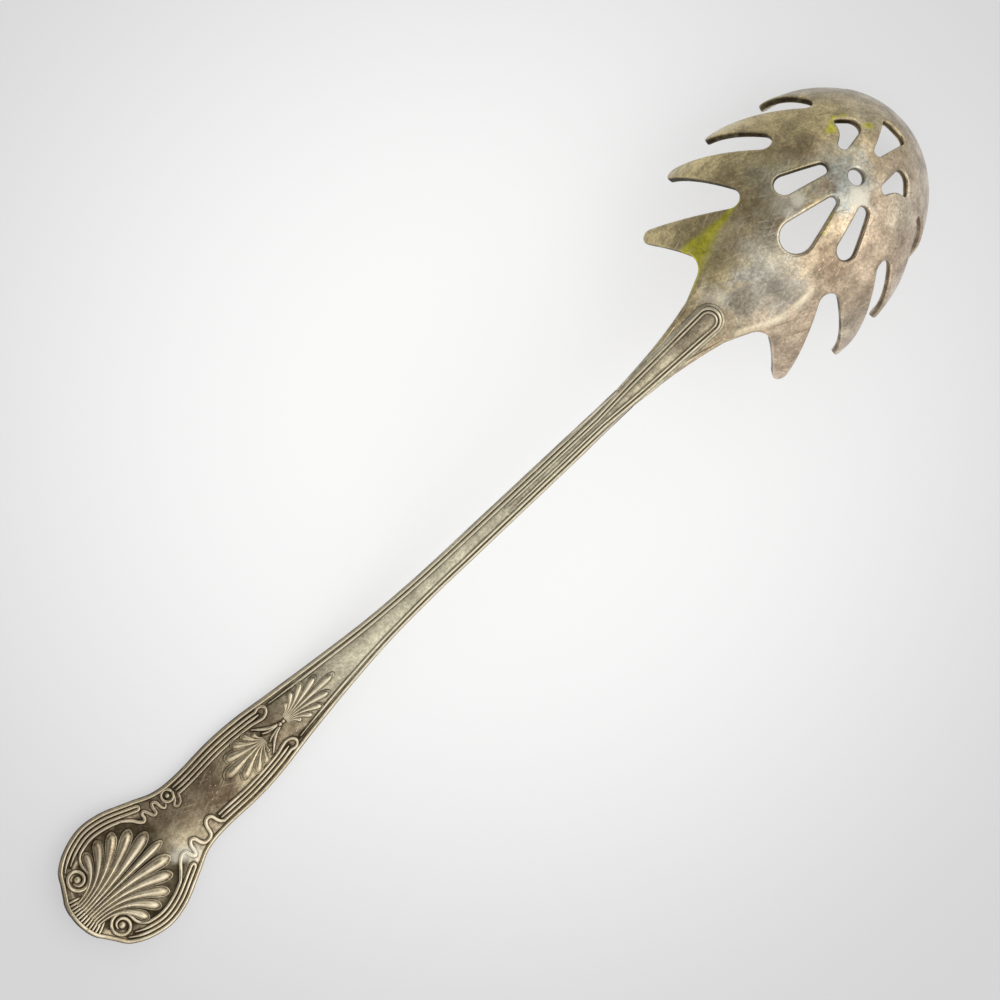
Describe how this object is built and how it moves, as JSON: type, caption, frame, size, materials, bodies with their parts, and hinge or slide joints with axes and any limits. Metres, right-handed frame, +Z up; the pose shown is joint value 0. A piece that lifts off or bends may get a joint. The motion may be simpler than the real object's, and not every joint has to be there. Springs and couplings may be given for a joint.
{
  "type": "pasta server",
  "caption": "Pasta server with a domed, pierced bowl ringed with curved prongs, on a slender handle with thread borders and a fluted shell end; lifts and drains pasta.",
  "frame": {"origin": "bottom centre of the bounding box, on the surface that the server lies on", "axes": "+X from the shell end of the handle to the bowl, +Z up out of the server's back, +Y across it; it lies face down on its far prongs and on the panel of the handle"},
  "size_m": [0.254, 0.055, 0.0387],
  "materials": {
    "handle_plate": "worn silver plate over nickel silver, dark tarnish in the carving",
    "bowl_plate": "worn silver plate over nickel silver, polished, with tarnish",
    "solder": "silver hard solder under the plate, satin"
  },
  "bodies": {
    "root": {"handle": "handle_plate", "bowl": "bowl_plate", "solder_fillet": "solder"}
  },
  "joints": []
}
